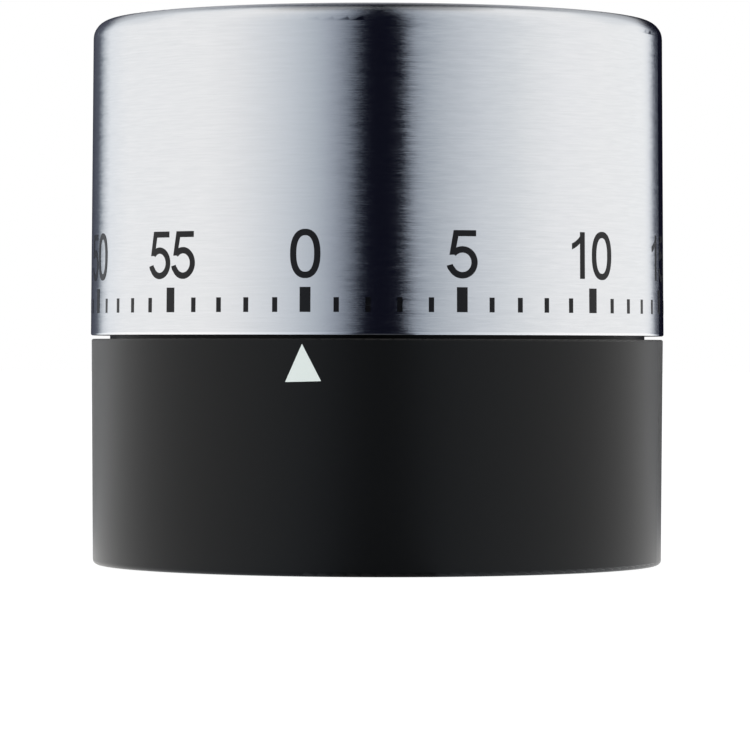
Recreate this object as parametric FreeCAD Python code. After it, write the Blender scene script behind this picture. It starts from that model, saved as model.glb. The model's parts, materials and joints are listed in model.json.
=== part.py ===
"""Wind-up kitchen timer: a drawn steel cap that turns on a round black base, with the clockwork inside.

The frame is in millimetres, +Z up. The origin is at the centre of the foot ring's underside.
The pointer on the base faces -Y. The cap turns clockwise, seen from above, to set the minutes.
Turning the cap winds the mainspring through the main arbor. The great wheel then drives a train of
wheels down to an escapement, and the spring barrel drives the hammer that rings the bell.
"""

import math
import os

import FreeCAD
import Part

V = FreeCAD.Vector
UP = V(0, 0, 1)

# ---------------------------------------------------------------- outside
case_radius = 30.0  # steel cap at its lower edge
cap_height = 32.85
cap_wall = 0.6
cap_draft = 0.25  # how much narrower the cap is at its top
cap_top_round = 1.9
cap_edge_round = 0.22
dial_gap = 0.35  # between the base and the cap
base_height = 23.5
base_inset = 0.08  # base narrower than the cap at the gap
base_draft = 0.15
base_top_round = 0.2
base_foot_round = 0.5
shell_wall = 2.1
collar_inset = 2.0  # collar narrower than the cap
collar_wall = 1.6
collar_rise = 7.0
foot_proud = 0.12
foot_depth = 1.7
foot_width = 1.9
foot_lip = 0.55  # cover left outside the foot ring
cover_recess = 0.4  # cover sits this far above the shell's lower rim
cover_thickness = 2.0
cover_clearance = 0.15
sound_hole_radius = 1.0
sound_circles = ((9.0, 10), (14.0, 16))  # radius and number of holes

# ---------------------------------------------------------------- dial carrier
carrier_wall = 1.1
carrier_web = 1.8
carrier_recess = 0.4  # carrier hidden above the cap's lower edge
carrier_corner_round = 1.8
hub_radius = 5.0
hub_bottom_gap = 2.4  # above the upper plate
arbor_below_web = 7.0  # from the web down to the arbor's top
hub_floor = 1.7
hub_well_radius = 3.4
rib_count = 6
rib_thickness = 1.0
rib_depth = 8.0
stop_rib_width = 0.9
stop_rib_height = 3.0
stop_angle = 55.0
stop_overlap = 2.2  # post stands this far into the rib's height
stop_rib_reach = 1.0  # rib runs this far past the stop post's axis
stop_clearance = 0.2

# ---------------------------------------------------------------- movement frame
plate_margin = 2.1  # plate outside the screw circle
lower_plate_thickness = 1.0
upper_plate_thickness = 1.2
plate_spacing = 16.0
lower_plate_height = 15.0  # underside of the lower plate
screw_inset = 3.5  # screw circle inside the collar's bore
pillar_off_second = 22.5  # degrees between the first pillar and the second arbor
pillar_off_balance = 15.8  # degrees between the second pillar and the balance
last_pillar_angle = 215.0
cover_screw_angles = (35.0, 155.0, 275.0)
pillar_radius = 1.75
pillar_stud_radius = 1.0
pillar_bore_depth = 5.0
nut_flats = 4.0
nut_height = 1.6
boss_radius = 2.1
screw_radius = 0.8
screw_hole_radius = 1.0
screw_head_radius = 1.6
screw_head_height = 1.1
counterbore_radius = 1.8
screw_head_recess = 0.15  # head below the cover's face
cover_boss_height = 10.8
cover_screw_bite = 8.0
drive_slot_width = 0.45
drive_slot_depth = 0.6

# ---------------------------------------------------------------- bell
bell_clearance = 0.6  # to the cover bosses
bell_wall = 0.8
bell_height = 8.0
bell_round = 3.0
bell_post_radius = 4.5
bell_post_height = 2.3
bell_screw_radius = 1.2
bell_screw_bite = 3.0
bell_screw_head_radius = 2.6
bell_screw_head_height = 1.6

# ---------------------------------------------------------------- main arbor
arbor_radius = 2.5
arbor_pivot_radius = 1.5
arbor_flat = 0.6  # depth of the flat at the hub
shaft_clearance = 0.05
clip_groove_depth = 0.4
clip_thickness = 0.6
clip_radius = 4.2
clip_mouth = 3.6
hub_screw_radius = 1.1
hub_screw_head_radius = 2.4
hub_screw_head_height = 1.6
hub_screw_bite = 6.0

# ---------------------------------------------------------------- wheels on the main arbor
wheel_gap = 0.6  # above the lower plate to the barrel's gear
barrel_gear_thickness = 1.0
barrel_radius = 10.5
barrel_wall = 0.6
barrel_cover_thickness = 0.6
barrel_gear_teeth = 75
barrel_gear_module = 0.4
core_radius = 3.6
core_end_gap = 0.3
spring_thickness = 0.25
spring_turns = 7
spring_end_gap = 0.45
great_wheel_lift = 0.8  # above the barrel's cover
great_wheel_thickness = 1.0
great_wheel_teeth = 60
great_wheel_module = 0.5
great_wheel_hole_radius = 1.7
great_wheel_hole_circle = 11.8
ratchet_teeth = 20
ratchet_radius = 5.4
ratchet_tooth_depth = 0.7
ratchet_thickness = 0.8
pawl_circle = 8.4
pawl_pivot_radius = 0.6
pawl_boss_radius = 1.2
pawl_width = 1.3
click_spring_thickness = 0.2
click_post_radius = 0.6
cam_radius = 8.0
cam_thickness = 1.0
cam_hub_radius = 3.6
cam_below_plate = 1.1
cam_gap = 2.7  # above the ratchet wheel
notch_angle = 220.0
notch_half_width = 8.0  # degrees at the cam's rim
notch_depth = 1.8

# ---------------------------------------------------------------- wheel train and escapement
pressure_angle = 25.0
wheel_addendum = 0.75  # of the module
pinion_addendum = 0.8
tooth_root_clearance = 0.25
tooth_backlash = 0.05  # taken off each tooth
train_module = 0.3
train_wheel_teeth = 40
train_pinion_leaves = 8
first_pinion_leaves = 10
train_wheel_thickness = 0.8
train_circle = 18.0  # arbors after the second stand on this circle
second_angle = -7.5
pinion_overhang = 0.4  # pinion longer than its wheel, each end
shaft_radius = 0.8
pivot_radius = 0.5
pivot_clearance = 0.04
crossing_radius = 1.3
crossing_circle = 3.4
second_wheel_gap = 1.8  # above the great wheel
fourth_wheel_gap = 0.9  # above the barrel's gear
third_wheel_gap = 0.9  # above the fourth wheel
escape_wheel_gap = 1.6  # above the fourth wheel
escape_teeth = 16
escape_radius = 4.0
escape_tooth_depth = 1.1
escape_wheel_thickness = 0.6
escape_to_balance = 6.0
pallet_clearance = 0.12
balance_radius = 4.6
balance_rim = 1.0
balance_thickness = 1.0
balance_drop = 4.5  # underside, below the upper plate
hairspring_thickness = 0.12
hairspring_turns = 4
hairspring_inner = 1.5
hairspring_outer = 3.3
hairspring_width = 0.4
hairspring_drop = 2.6  # underside, below the upper plate
hairspring_stud_radius = 0.5

# ---------------------------------------------------------------- strike train
strike_angle = 150.0
strike_pinion_leaves = 10
strike_teeth = 12
strike_radius = 4.2
strike_tooth_depth = 1.5
strike_wheel_gap = 3.4  # above the barrel's gear
strike_wheel_thickness = 0.8
strike_to_hammer = 6.3
hammer_circle = 18.0
hammer_arm_length = 8.5
hammer_arm_radius = 0.5
hammer_arm_lift = 2.9
hammer_bend = 1.2
hammer_head_radius = 1.6
hammer_head_height = 4.0
hammer_gap = 0.8  # head to bell at rest
slot_margin = 1.6

# ---------------------------------------------------------------- release spring
release_root_circle = 13.0
release_root_angle = 250.0
release_end_circle = 15.97
release_end_angle = 184.0
release_shoulder_circle = 9.3
release_thickness = 0.3
release_post_radius = 1.0
release_pin_radius = 0.35
release_pin_end = 2.3  # above the lower plate

# ---------------------------------------------------------------- heights worked out from the above
rim_z = foot_proud
base_top = rim_z + base_height
cap_bottom = base_top + dial_gap
cap_top = cap_bottom + cap_height
collar_radius = case_radius - collar_inset
collar_bore = collar_radius - collar_wall
screw_circle = collar_bore - screw_inset
plate_radius = screw_circle + plate_margin
bell_radius = screw_circle - boss_radius - bell_clearance
collar_top = base_top + collar_rise
shell_top_radius = case_radius - base_inset
shell_foot_radius = shell_top_radius - base_draft
shell_bore = shell_foot_radius - shell_wall
cover_bottom = rim_z + cover_recess
cover_top = cover_bottom + cover_thickness
cover_radius = shell_bore - cover_clearance
lower_plate_top = lower_plate_height + lower_plate_thickness
upper_plate_bottom = lower_plate_top + plate_spacing
upper_plate_top = upper_plate_bottom + upper_plate_thickness
hub_bottom = upper_plate_top + hub_bottom_gap
cap_inside_top = cap_top - cap_wall
carrier_bottom = cap_bottom + carrier_recess
web_bottom = cap_inside_top - carrier_web
arbor_top = web_bottom - arbor_below_web
hub_seat = arbor_top + 0.3
well_floor = hub_seat + hub_floor
bell_floor = cover_top + bell_post_height
stop_circle = plate_radius - 1.2
stop_post_radius = 0.6
stop_rib_bottom = upper_plate_top + nut_height + 0.9
stop_post_top = stop_rib_bottom + stop_overlap
barrel_gear_bottom = lower_plate_top + wheel_gap
barrel_gear_top = barrel_gear_bottom + barrel_gear_thickness
cam_top = upper_plate_bottom - cam_below_plate
cam_bottom = cam_top - cam_thickness
ratchet_top = cam_bottom - cam_gap
ratchet_bottom = ratchet_top - ratchet_thickness
great_wheel_top = ratchet_bottom
great_wheel_bottom = great_wheel_top - great_wheel_thickness
barrel_cover_top = great_wheel_bottom - great_wheel_lift
barrel_cover_bottom = barrel_cover_top - barrel_cover_thickness
second_wheel_bottom = great_wheel_top + second_wheel_gap
fourth_wheel_bottom = barrel_gear_top + fourth_wheel_gap
third_wheel_bottom = fourth_wheel_bottom + train_wheel_thickness + third_wheel_gap
escape_wheel_bottom = fourth_wheel_bottom + train_wheel_thickness + escape_wheel_gap
escape_wheel_top = escape_wheel_bottom + escape_wheel_thickness
strike_wheel_bottom = barrel_gear_top + strike_wheel_gap
strike_wheel_top = strike_wheel_bottom + strike_wheel_thickness
balance_bottom = upper_plate_bottom - balance_drop
hairspring_bottom = upper_plate_bottom - hairspring_drop
clip_bottom = upper_plate_top + 0.1


# ================================================================ drawing helpers
def polar(radius, degrees, centre=(0.0, 0.0)):
    """A plan point at a radius and angle from a centre."""
    a = math.radians(degrees)
    return (centre[0] + radius * math.cos(a), centre[1] + radius * math.sin(a))


def bearing(start, end):
    """The direction from one plan point to another, in degrees."""
    return math.degrees(math.atan2(end[1] - start[1], end[0] - start[0]))


def step_round(start, circle, distance):
    """The plan point on a circle about the origin, anticlockwise of start, at a distance from start."""
    near = math.hypot(*start)
    cosine = (near**2 + circle**2 - distance**2) / (2 * near * circle)
    return polar(circle, bearing((0, 0), start) + math.degrees(math.acos(cosine)))


def cylinder(radius, bottom, top, centre=(0.0, 0.0)):
    return Part.makeCylinder(radius, top - bottom, V(centre[0], centre[1], bottom))


def ring(outer, inner, bottom, top, centre=(0.0, 0.0)):
    return cylinder(outer, bottom, top, centre).cut(cylinder(inner, bottom - 1, top + 1, centre))


def rounded_wire(corners, place):
    """A closed wire through corners (x, y, round), each corner rounded by a tangent arc."""
    points = [(V(x, y, 0), r) for x, y, r in corners]
    count = len(points)
    stretches = []
    for i, (corner, r) in enumerate(points):
        before = (points[i - 1][0] - corner).normalize()
        after = (points[(i + 1) % count][0] - corner).normalize()
        if r <= 0:
            stretches.append((corner, None, corner))
            continue
        half = before.getAngle(after) / 2
        reach = r / math.tan(half)
        centre = corner + (before + after).normalize() * (r / math.sin(half))
        middle = centre + (corner - centre).normalize() * r
        stretches.append((corner + before * reach, middle, corner + after * reach))
    edges = []
    for i, (start, middle, end) in enumerate(stretches):
        if middle is not None:
            edges.append(Part.Arc(place(start), place(middle), place(end)).toShape())
        following = stretches[(i + 1) % count][0]
        if end.distanceToPoint(following) > 1e-6:
            edges.append(Part.LineSegment(place(end), place(following)).toShape())
    return Part.Wire(edges)


def turned(corners):
    """A solid of revolution about Z from corners (radius, z, round)."""
    wire = rounded_wire(corners, lambda p: V(p.x, 0, p.y))
    return Part.Face(wire).revolve(V(0, 0, 0), UP, 360)


def plate_from(corners, bottom, top):
    """A flat plate from plan corners (x, y, round)."""
    wire = rounded_wire(corners, lambda p: V(p.x, p.y, bottom))
    return Part.Face(wire).extrude(UP * (top - bottom))


def bar(start, end, width, bottom, top):
    """A flat bar with round ends between two plan points."""
    direction = (V(*end, 0) - V(*start, 0)).normalize()
    side = V(-direction.y, direction.x, 0) * (width / 2)
    base = V(0, 0, bottom)
    a, b = V(*start, 0) + base, V(*end, 0) + base
    outer = direction * (width / 2)
    edges = [
        Part.LineSegment(a - side, b - side).toShape(),
        Part.Arc(b - side, b + outer, b + side).toShape(),
        Part.LineSegment(b + side, a + side).toShape(),
        Part.Arc(a + side, a - outer, a - side).toShape(),
    ]
    return Part.Face(Part.Wire(edges)).extrude(UP * (top - bottom))


def wedge(tip, root, tip_width, root_width, bottom, top):
    """A tapered finger from its root to its tip."""
    direction = (V(*tip, 0) - V(*root, 0)).normalize()
    side = V(-direction.y, direction.x, 0)
    t, r = V(*tip, bottom), V(*root, bottom)
    corners = [
        t - side * (tip_width / 2),
        t + side * (tip_width / 2),
        r + side * (root_width / 2),
        r - side * (root_width / 2),
    ]
    return Part.Face(Part.makePolygon(corners + corners[:1])).extrude(UP * (top - bottom))


def fuse(*shapes):
    return shapes[0].multiFuse(list(shapes[1:])).removeSplitter()


def closed_outline(points):
    """A closed wire from a list of ("line", end) and ("arc", through, end) steps after a first point."""
    start = points[0]
    edges, here = [], start
    for step in points[1:]:
        end = step[-1]
        if step[0] == "arc":
            edges.append(Part.Arc(here, step[1], end).toShape())
        elif here.distanceToPoint(end) > 1e-7:
            edges.append(Part.LineSegment(here, end).toShape())
        here = end
    return Part.Wire(edges)


# ================================================================ gear teeth
def involute_angle(base, radius):
    """How far an involute has turned from its base circle at a radius, in radians."""
    alpha = math.acos(min(1.0, base / radius))
    return math.tan(alpha) - alpha


def gear(teeth, module, addendum, mate_addendum, bottom, top, centre, tooth_at):
    """A spur gear with a tooth centred on the direction tooth_at, in degrees."""
    pitch = teeth * module / 2
    base = pitch * math.cos(math.radians(pressure_angle))
    tip = pitch + addendum * module
    root = pitch - (mate_addendum + tooth_root_clearance) * module
    start = max(base, root)
    middle = (start + tip) / 2
    at_pitch = math.pi / (2 * teeth) - tooth_backlash / (2 * pitch)

    def half_angle(radius):
        turned_by = involute_angle(base, pitch) - involute_angle(base, radius)
        return math.degrees(at_pitch + turned_by)

    def point(radius, degrees):
        x, y = polar(radius, degrees, centre)
        return V(x, y, bottom)

    step = 360 / teeth
    first = tooth_at - half_angle(start)
    outline = [point(root, first)]
    for i in range(teeth):
        at = tooth_at + i * step
        wide, mid, narrow = half_angle(start), half_angle(middle), half_angle(tip)
        outline += [
            ("line", point(start, at - wide)),
            ("arc", point(middle, at - mid), point(tip, at - narrow)),
            ("arc", point(tip, at), point(tip, at + narrow)),
            ("arc", point(middle, at + mid), point(start, at + wide)),
            ("line", point(root, at + wide)),
            ("arc", point(root, at + step / 2), point(root, at + step - wide)),
        ]
    return Part.Face(closed_outline(outline)).extrude(UP * (top - bottom))


def saw_wheel(teeth, radius, depth, lean, bottom, top, centre, tooth_at):
    """A wheel of pointed teeth. A lean of 0.5 gives even teeth, and 0 or 1 gives saw teeth."""
    step = 360 / teeth
    corners = []
    for i in range(teeth):
        at = tooth_at + i * step
        corners.append(V(*polar(radius, at - 1.2, centre), bottom))
        corners.append(V(*polar(radius, at + 1.2, centre), bottom))
        corners.append(V(*polar(radius - depth, at + 1.2 + lean * (step - 2.4), centre), bottom))
    return Part.Face(Part.makePolygon(corners + corners[:1])).extrude(UP * (top - bottom))


def flat_spiral(inner, outer, turns, thickness, bottom, top, centre, start_at):
    """A flat spiral strip wound outwards in half circles."""
    pitch = (outer - inner - thickness) / turns
    rotation = FreeCAD.Rotation(UP, start_at)
    origin = V(*centre, bottom)

    def edge(first_radius):
        half_turns = []
        x = first_radius
        for i in range(2 * turns):
            side = 1 if i % 2 == 0 else -1
            radius = first_radius + pitch * (i + 0.5) / 2
            middle = x * side - side * radius
            half_turns.append((V(x * side, 0, 0), V(middle, side * radius, 0)))
            x = 2 * radius - x
        last = V(x if turns * 2 % 2 == 0 else -x, 0, 0)
        return half_turns, last

    def placed(p):
        return origin + rotation.multVec(p)

    near, near_end = edge(inner)
    far, far_end = edge(inner + thickness)
    edges = []
    for half_turns, last in ((near, near_end), (far, far_end)):
        ends = [p for p, _ in half_turns[1:]] + [last]
        for (start, through), end in zip(half_turns, ends):
            edges.append(Part.Arc(placed(start), placed(through), placed(end)).toShape())
    edges.append(Part.LineSegment(placed(near[0][0]), placed(far[0][0])).toShape())
    edges.append(Part.LineSegment(placed(near_end), placed(far_end)).toShape())
    wire = Part.Wire(Part.__sortEdges__(edges))
    return Part.Face(wire).extrude(UP * (top - bottom))


# ================================================================ where the arbors stand
great_pitch = great_wheel_teeth * great_wheel_module / 2
first_pinion_pitch = first_pinion_leaves * great_wheel_module / 2
train_distance = (train_wheel_teeth + train_pinion_leaves) * train_module / 2
centre_point = (0.0, 0.0)
second_at = polar(great_pitch + first_pinion_pitch, second_angle)
third_at = step_round(second_at, train_circle, train_distance)
fourth_at = step_round(third_at, train_circle, train_distance)
escape_at = step_round(fourth_at, train_circle, train_distance)
balance_at = step_round(escape_at, train_circle, escape_to_balance)
barrel_pitch = barrel_gear_teeth * barrel_gear_module / 2
strike_pinion_pitch = strike_pinion_leaves * barrel_gear_module / 2
strike_at = polar(barrel_pitch + strike_pinion_pitch, strike_angle)
hammer_at = step_round(strike_at, hammer_circle, strike_to_hammer)
bell_inner = bell_radius - bell_wall
head_circle = bell_inner - hammer_head_radius - hammer_gap
head_at = step_round(hammer_at, head_circle, hammer_arm_length)
pivoted = [second_at, third_at, fourth_at, escape_at, balance_at, strike_at, hammer_at]
pillar_angles = (
    second_angle - pillar_off_second,
    bearing(centre_point, balance_at) + pillar_off_balance,
    last_pillar_angle,
)
pillars_at = [polar(screw_circle, a) for a in pillar_angles]
cover_screws_at = [polar(screw_circle, a) for a in cover_screw_angles]
release_root = polar(release_root_circle, release_root_angle)
hairspring_end = polar(hairspring_outer + hairspring_stud_radius, 0, balance_at)


# ================================================================ the outside
def cap_inside_radius(z):
    """Inner radius of the tapered cap at a height."""
    share = (z - cap_bottom) / (cap_inside_top - cap_bottom)
    return case_radius - cap_wall - cap_draft * share


def steel_cap():
    top_radius = case_radius - cap_draft
    return turned(
        [
            (case_radius, cap_bottom, cap_edge_round),
            (top_radius, cap_top, cap_top_round),
            (0, cap_top, 0),
            (0, cap_inside_top, 0),
            (cap_inside_radius(cap_inside_top), cap_inside_top, cap_top_round - cap_wall),
            (cap_inside_radius(cap_bottom), cap_bottom, cap_edge_round),
        ]
    )


def stop_angles():
    """The stop post's angle on the plate, and the stop rib's at rest beside it."""
    half = math.degrees((stop_post_radius + stop_clearance + stop_rib_width / 2) / stop_circle)
    return stop_angle, stop_angle - half


def arbor_section(radius, bottom, top, clearance=0.0):
    """The main arbor's D-shaped end."""
    round_bar = cylinder(radius + clearance, bottom, top)
    far = 4 * radius
    cutter = Part.makeBox(far, far, top - bottom + 2, V(radius - arbor_flat + clearance, -far / 2, bottom - 1))
    return round_bar.cut(cutter)


def dial_carrier():
    outer_bottom = cap_inside_radius(carrier_bottom)
    outer_top = cap_inside_radius(cap_inside_top)
    bore = outer_bottom - carrier_wall
    cup = turned(
        [
            (outer_bottom, carrier_bottom, 0),
            (outer_top, cap_inside_top, carrier_corner_round),
            (0, cap_inside_top, 0),
            (0, web_bottom, 0),
            (outer_top - carrier_wall, web_bottom, 0.6),
            (bore, carrier_bottom, 0),
        ]
    )
    hub = cylinder(hub_radius, hub_bottom, web_bottom + 0.5)
    ribs = [
        bar(polar(hub_radius - 0.5, a), polar(outer_top - carrier_wall / 2, a), rib_thickness,
            web_bottom - rib_depth, web_bottom + 0.5)
        for a in (i * 360 / rib_count + 30 for i in range(rib_count))
    ]
    rib_at = stop_angles()[1]
    stop_rib = bar(
        polar(stop_circle - stop_rib_reach, rib_at), polar(bore + carrier_wall / 2, rib_at), stop_rib_width,
        stop_rib_bottom, stop_rib_bottom + stop_rib_height,
    )
    body = fuse(cup, hub, stop_rib, *ribs)
    body = body.cut(arbor_section(arbor_radius, hub_bottom - 1, hub_seat))
    body = body.cut(cylinder(hub_screw_radius + 0.2, hub_seat - 1, well_floor + 1))
    return body.cut(cylinder(hub_well_radius, well_floor, cap_inside_top + 1))


def base_shell():
    body = turned(
        [
            (shell_foot_radius, rim_z, base_foot_round),
            (shell_top_radius, base_top, base_top_round),
            (collar_radius, base_top, 0),
            (collar_radius, collar_top, 0.3),
            (collar_bore, collar_top, 0.3),
            (collar_bore, base_top - shell_wall, 0),
            (shell_bore, base_top - shell_wall - (shell_bore - collar_bore), 0),
            (shell_bore, rim_z, 0.2),
        ]
    )
    for angle, at in zip(cover_screw_angles, cover_screws_at):
        top = cover_top + cover_boss_height
        boss = cylinder(boss_radius, cover_top, top, at)
        web = bar(at, polar(shell_bore + 0.5, angle), 1.2, cover_top, top)
        body = fuse(body, boss, web)
        body = body.cut(cylinder(screw_radius, cover_top - 1, cover_top + cover_screw_bite, at))
    return body


def bottom_cover():
    body = cylinder(cover_radius, cover_bottom, cover_top)
    body = fuse(body, cylinder(bell_post_radius, cover_top - 0.5, bell_floor))
    for at in pillars_at:
        body = fuse(body, cylinder(boss_radius, cover_top - 0.5, lower_plate_height, at))
    head_seat = cover_bottom + screw_head_recess + screw_head_height
    for at in pillars_at + cover_screws_at:
        body = body.cut(cylinder(screw_hole_radius, cover_bottom - 1, lower_plate_height + 1, at))
        body = body.cut(cylinder(counterbore_radius, cover_bottom - 1, head_seat, at))
    for circle, count in sound_circles:
        for i in range(count):
            at = polar(circle, 360 * i / count)
            body = body.cut(cylinder(sound_hole_radius, cover_bottom - 1, cover_top + 1, at))
    groove_outer = cover_radius - foot_lip
    groove = ring(groove_outer, groove_outer - foot_width, cover_bottom - 1, foot_depth)
    body = body.cut(groove)
    return body.cut(cylinder(bell_screw_radius, bell_floor - bell_screw_bite, bell_floor + 1))


def foot_ring():
    outer = cover_radius - foot_lip
    inner = outer - foot_width
    return turned([(outer, 0, 0.3), (outer, foot_depth, 0), (inner, foot_depth, 0), (inner, 0, 0.3)])


def drive_cross(at, face, upward):
    """The cross recess cut into a screw's head."""
    length = 2.1
    low = face - drive_slot_depth if upward else face - 1
    high = face + 1 if upward else face + drive_slot_depth
    arms = []
    for angle in (0, 90):
        start = polar(length / 2, angle, at)
        end = polar(length / 2, angle + 180, at)
        arms.append(bar(start, end, drive_slot_width, low, high))
    return fuse(*arms)


def bottom_screw(at, tip):
    head_face = cover_bottom + screw_head_recess
    seat = head_face + screw_head_height
    screw = fuse(cylinder(screw_head_radius, head_face, seat, at), cylinder(screw_radius, seat - 0.2, tip, at))
    return screw.cut(drive_cross(at, head_face, upward=False))


def cover_screws():
    return Part.Compound([bottom_screw(at, cover_top + cover_screw_bite - 0.5) for at in cover_screws_at])


def movement_screws():
    tip = lower_plate_top + pillar_bore_depth - 0.5
    return Part.Compound([bottom_screw(at, tip) for at in pillars_at])


# ================================================================ bell and hammer
def bell():
    rim = bell_floor + bell_height
    cup = turned(
        [
            (0, bell_floor, 0),
            (bell_radius, bell_floor, bell_round),
            (bell_radius, rim, 0.25),
            (bell_inner, rim, 0.25),
            (bell_inner, bell_floor + bell_wall, bell_round - bell_wall),
            (0, bell_floor + bell_wall, 0),
        ]
    )
    return cup.cut(cylinder(bell_screw_radius, bell_floor - 1, bell_floor + 2))


def bell_screw():
    seat = bell_floor + bell_wall
    face = seat + bell_screw_head_height
    screw = fuse(
        cylinder(bell_screw_head_radius, seat, face),
        cylinder(bell_screw_radius, bell_floor - bell_screw_bite + 0.3, seat + 0.2),
    )
    return screw.cut(drive_cross(centre_point, face, upward=True))


def pallets(wheel_at, arbor_at, radius, teeth, thickness_low, thickness_high, boss):
    """An anchor that spans two and a half teeth, clear of the wheel at mid swing."""
    line = bearing(wheel_at, arbor_at)
    spread = 1.25 * 360 / teeth
    pieces = [cylinder(boss, thickness_low, thickness_high, arbor_at)]
    for side in (-1, 1):
        elbow = polar(radius + 1.0, line + side * (spread + 3), wheel_at)
        tip = polar(radius + pallet_clearance, line + side * spread, wheel_at)
        pieces.append(bar(arbor_at, elbow, 0.8, thickness_low, thickness_high))
        pieces.append(wedge(tip, elbow, 0.25, 0.8, thickness_low, thickness_high))
    anchor = fuse(*pieces)
    return anchor.cut(cylinder(shaft_radius, thickness_low - 1, thickness_high + 1, arbor_at))


def shaft(at, extra=()):
    """An arbor between the plates with a turned-down pivot in each."""
    pieces = [
        cylinder(shaft_radius, lower_plate_top + 0.1, upper_plate_bottom - 0.1, at),
        cylinder(pivot_radius, lower_plate_height + 0.1, upper_plate_top - 0.1, at),
    ]
    return fuse(*pieces, *extra)


def hammer_lever():
    return pallets(strike_at, hammer_at, strike_radius, strike_teeth, strike_wheel_bottom, strike_wheel_top, 1.9)


def hammer_arm():
    """A collar on the hammer arbor with a bent wire that hangs through the plate into the bell."""
    level = lower_plate_top + hammer_arm_lift
    head_top = bell_floor + bell_wall + 2.2 + hammer_head_height
    start = V(*hammer_at, level)
    corner = V(*head_at, level)
    end = V(*head_at, head_top - 1.5)
    along = (start - corner).normalize()
    first = corner + along * hammer_bend
    second = corner - UP * hammer_bend
    middle = corner + (along - UP) * hammer_bend * (1 - math.sqrt(0.5))
    begin = start - along * 1.2
    path = Part.Wire(
        [
            Part.LineSegment(begin, first).toShape(),
            Part.Arc(first, middle, second).toShape(),
            Part.LineSegment(second, end).toShape(),
        ]
    )
    profile = Part.Wire(Part.makeCircle(hammer_arm_radius, begin, along))
    wire = path.makePipeShell([profile], True, True)
    collar = cylinder(1.8, level - 0.8, level + 0.8, hammer_at)
    body = fuse(wire, collar)
    return body.cut(cylinder(shaft_radius, level - 2, level + 2, hammer_at))


def hammer_head():
    bottom = bell_floor + bell_wall + 2.2
    top = bottom + hammer_head_height
    head = cylinder(hammer_head_radius, bottom, top, head_at)
    edges = [e for e in head.Edges if e.Length > 6]
    head = head.makeFillet(0.4, edges)
    return head.cut(cylinder(hammer_arm_radius, top - 1.5, top + 1, head_at))


# ================================================================ movement frame
def pivot_holes(plate, bottom, top):
    for at in pivoted:
        plate = plate.cut(cylinder(pivot_radius + pivot_clearance, bottom - 1, top + 1, at))
    return plate


def lower_plate():
    top = lower_plate_top
    plate = cylinder(plate_radius, lower_plate_height, top)
    plate = plate.cut(cylinder(arbor_pivot_radius + shaft_clearance, lower_plate_height - 1, top + 1))
    for at in pillars_at:
        plate = plate.cut(cylinder(screw_hole_radius, lower_plate_height - 1, top + 1, at))
    across = bearing(centre_point, head_at)
    start = polar(head_circle - 1.0, across)
    end = polar(head_circle + 1.0, across)
    slot = bar(start, end, 2 * (hammer_arm_radius + slot_margin), lower_plate_height - 1, top + 1)
    return pivot_holes(plate, lower_plate_height, top).cut(slot)


def upper_plate():
    plate = cylinder(plate_radius, upper_plate_bottom, upper_plate_top)
    plate = plate.cut(cylinder(arbor_radius + shaft_clearance, upper_plate_bottom - 1, upper_plate_top + 1))
    riveted = [
        (pillar_stud_radius, pillars_at),
        (release_post_radius * 0.6, [release_root]),
        (hairspring_stud_radius, [hairspring_end]),
        (stop_post_radius, [polar(stop_circle, stop_angles()[0])]),
    ]
    for radius, places in riveted:
        for at in places:
            plate = plate.cut(cylinder(radius, upper_plate_bottom - 1, upper_plate_top + 1, at))
    return pivot_holes(plate, upper_plate_bottom, upper_plate_top)


def plate_pillars():
    pillars = []
    for at in pillars_at:
        post = fuse(
            cylinder(pillar_radius, lower_plate_top, upper_plate_bottom, at),
            cylinder(pillar_stud_radius, upper_plate_bottom - 0.5, upper_plate_top + nut_height + 0.3, at),
        )
        pillars.append(post.cut(cylinder(screw_radius, lower_plate_top - 1, lower_plate_top + pillar_bore_depth, at)))
    return Part.Compound(pillars)


def pillar_nuts():
    nuts = []
    for at in pillars_at:
        corners = [V(*polar(nut_flats / math.sqrt(3), 60 * i, at), upper_plate_top) for i in range(6)]
        hexagon = Part.Face(Part.makePolygon(corners + corners[:1])).extrude(UP * nut_height)
        nuts.append(hexagon.cut(cylinder(pillar_stud_radius, upper_plate_top - 1, upper_plate_top + 3, at)))
    return Part.Compound(nuts)


def stop_post():
    at = polar(stop_circle, stop_angles()[0])
    return fuse(
        cylinder(stop_post_radius, upper_plate_bottom, stop_post_top, at),
        cylinder(stop_post_radius + 0.3, upper_plate_top, upper_plate_top + 0.5, at),
    )


# ================================================================ pieces on the main arbor
def main_arbor():
    body = fuse(
        cylinder(arbor_pivot_radius, lower_plate_height + 0.1, lower_plate_top + 0.2),
        cylinder(arbor_radius, lower_plate_top + 0.1, hub_bottom),
        arbor_section(arbor_radius, hub_bottom - 0.3, arbor_top),
    )
    groove = ring(arbor_radius + 1, arbor_radius - clip_groove_depth, clip_bottom, clip_bottom + clip_thickness)
    body = body.cut(groove)
    return body.cut(cylinder(hub_screw_radius, arbor_top - hub_screw_bite, arbor_top + 1))


def arbor_clip():
    clip = ring(clip_radius, arbor_radius - clip_groove_depth, clip_bottom, clip_bottom + clip_thickness)
    mouth = Part.makeBox(clip_radius + 1, clip_mouth, 3, V(0, -clip_mouth / 2, clip_bottom - 1))
    return clip.cut(mouth)


def hub_screw():
    face = well_floor + hub_screw_head_height
    screw = fuse(
        cylinder(hub_screw_head_radius, well_floor, face),
        cylinder(hub_screw_radius, arbor_top - hub_screw_bite + 0.4, well_floor + 0.2),
    )
    return screw.cut(drive_cross(centre_point, face, upward=True))


def spring_core():
    bottom = barrel_gear_top + core_end_gap
    return ring(core_radius, arbor_radius, bottom, barrel_cover_bottom - core_end_gap)


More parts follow.
